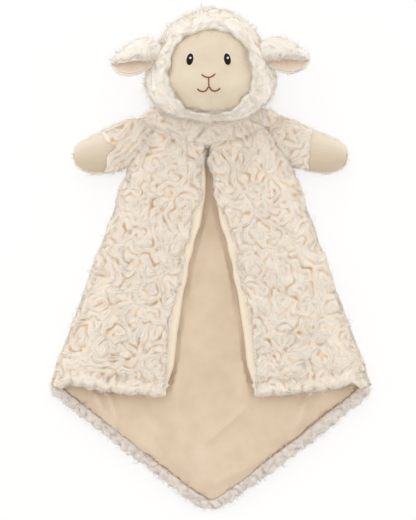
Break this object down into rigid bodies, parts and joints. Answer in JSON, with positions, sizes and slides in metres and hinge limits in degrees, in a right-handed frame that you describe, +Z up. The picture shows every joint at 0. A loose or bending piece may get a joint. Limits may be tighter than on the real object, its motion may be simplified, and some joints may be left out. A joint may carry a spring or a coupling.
{
  "type": "comfort blanket lovey",
  "caption": "Lamb comfort blanket: stuffed head with drooping ears, stuffed paws, and a folded plush blanket with a velour lining whose front opens as two flaps.",
  "frame": {"origin": "on the surface that the toy lies on, under the middle of its overall length and width", "axes": "+Z up, out of the toy's front; +Y from the blanket's tip to the head; +X towards the toy's own left arm, which is on the viewer's right"},
  "size_m": [0.307, 0.4825, 0.0887],
  "materials": {
    "plush": "deep cream swirl plush",
    "lining": "flat beige velour",
    "face_velour": "short pale velour",
    "ear_velour": "short beige velour",
    "stuffing": "loose polyester fibre",
    "black_thread": "satin stitch",
    "white_thread": "satin stitch",
    "brown_thread": "satin stitch"
  },
  "bodies": {
    "blanket": {"blanket_back_plush": "plush", "blanket_back_lining": "lining", "chest_left_plush": "plush", "chest_left_lining": "lining", "chest_right_plush": "plush", "chest_right_lining": "lining"},
    "flap_left": {"flap_left_plush": "plush", "flap_left_lining": "lining"},
    "flap_right": {"flap_right_plush": "plush", "flap_right_lining": "lining"},
    "neck": {"neck_gather": "plush"},
    "head": {"head_stuffing": "stuffing", "head_back_plush": "plush", "head_front_plush": "plush", "face_velour": "face_velour", "eye_left": "black_thread", "eye_left_highlight": "white_thread", "eye_right": "black_thread", "eye_right_highlight": "white_thread", "nose_stitching": "brown_thread", "lip_stitching": "brown_thread", "mouth_left_stitching": "brown_thread", "mouth_right_stitching": "brown_thread"},
    "ear_left": {"ear_left_plush": "plush", "ear_left_velour": "ear_velour"},
    "ear_right": {"ear_right_plush": "plush", "ear_right_velour": "ear_velour"},
    "arm_left": {"arm_left_back_plush": "plush", "arm_left_sleeve": "plush", "paw_left_pad": "face_velour", "arm_left_stuffing": "stuffing"},
    "arm_right": {"arm_right_back_plush": "plush", "arm_right_sleeve": "plush", "paw_right_pad": "face_velour", "arm_right_stuffing": "stuffing"}
  },
  "joints": [
    {"name": "neck_nod", "type": "hinge", "parent": "blanket", "child": "neck", "pos_m": [0, 0.13451, 0.0112], "axis": [1, 0, 0], "range_deg": [0, 30]},
    {"name": "head_turn", "type": "hinge", "parent": "neck", "child": "head", "pos_m": [0, 0.13451, 0.0112], "axis": [0, 1, 0], "range_deg": [-12, 12]},
    {"name": "ear_left_flop", "type": "hinge", "parent": "head", "child": "ear_left", "pos_m": [-0.05445, 0.19621, 0.064], "axis": [0.2873, 0.9578, 0], "range_deg": [-6, 45], "stiffness_Nm_per_rad": 0.01},
    {"name": "ear_right_flop", "type": "hinge", "parent": "head", "child": "ear_right", "pos_m": [0.05445, 0.19621, 0.064], "axis": [0.2873, -0.9578, 0], "range_deg": [-6, 45], "stiffness_Nm_per_rad": 0.01},
    {"name": "arm_left_lift", "type": "hinge", "parent": "blanket", "child": "arm_left", "pos_m": [-0.06686, 0.10837, 0.0112], "axis": [0.5029, 0.8643, 0], "range_deg": [-20, 60]},
    {"name": "arm_right_lift", "type": "hinge", "parent": "blanket", "child": "arm_right", "pos_m": [0.06686, 0.10837, 0.0112], "axis": [0.5029, -0.8643, 0], "range_deg": [-20, 60]},
    {"name": "flap_left_open", "type": "hinge", "parent": "blanket", "child": "flap_left", "pos_m": [-0.0756, 0.08401, 0.0112], "axis": [-0.3449, -0.9386, 0], "range_deg": [0, 178]},
    {"name": "flap_right_open", "type": "hinge", "parent": "blanket", "child": "flap_right", "pos_m": [0.0756, 0.08401, 0.0112], "axis": [-0.3449, 0.9386, 0], "range_deg": [0, 178]}
  ]
}
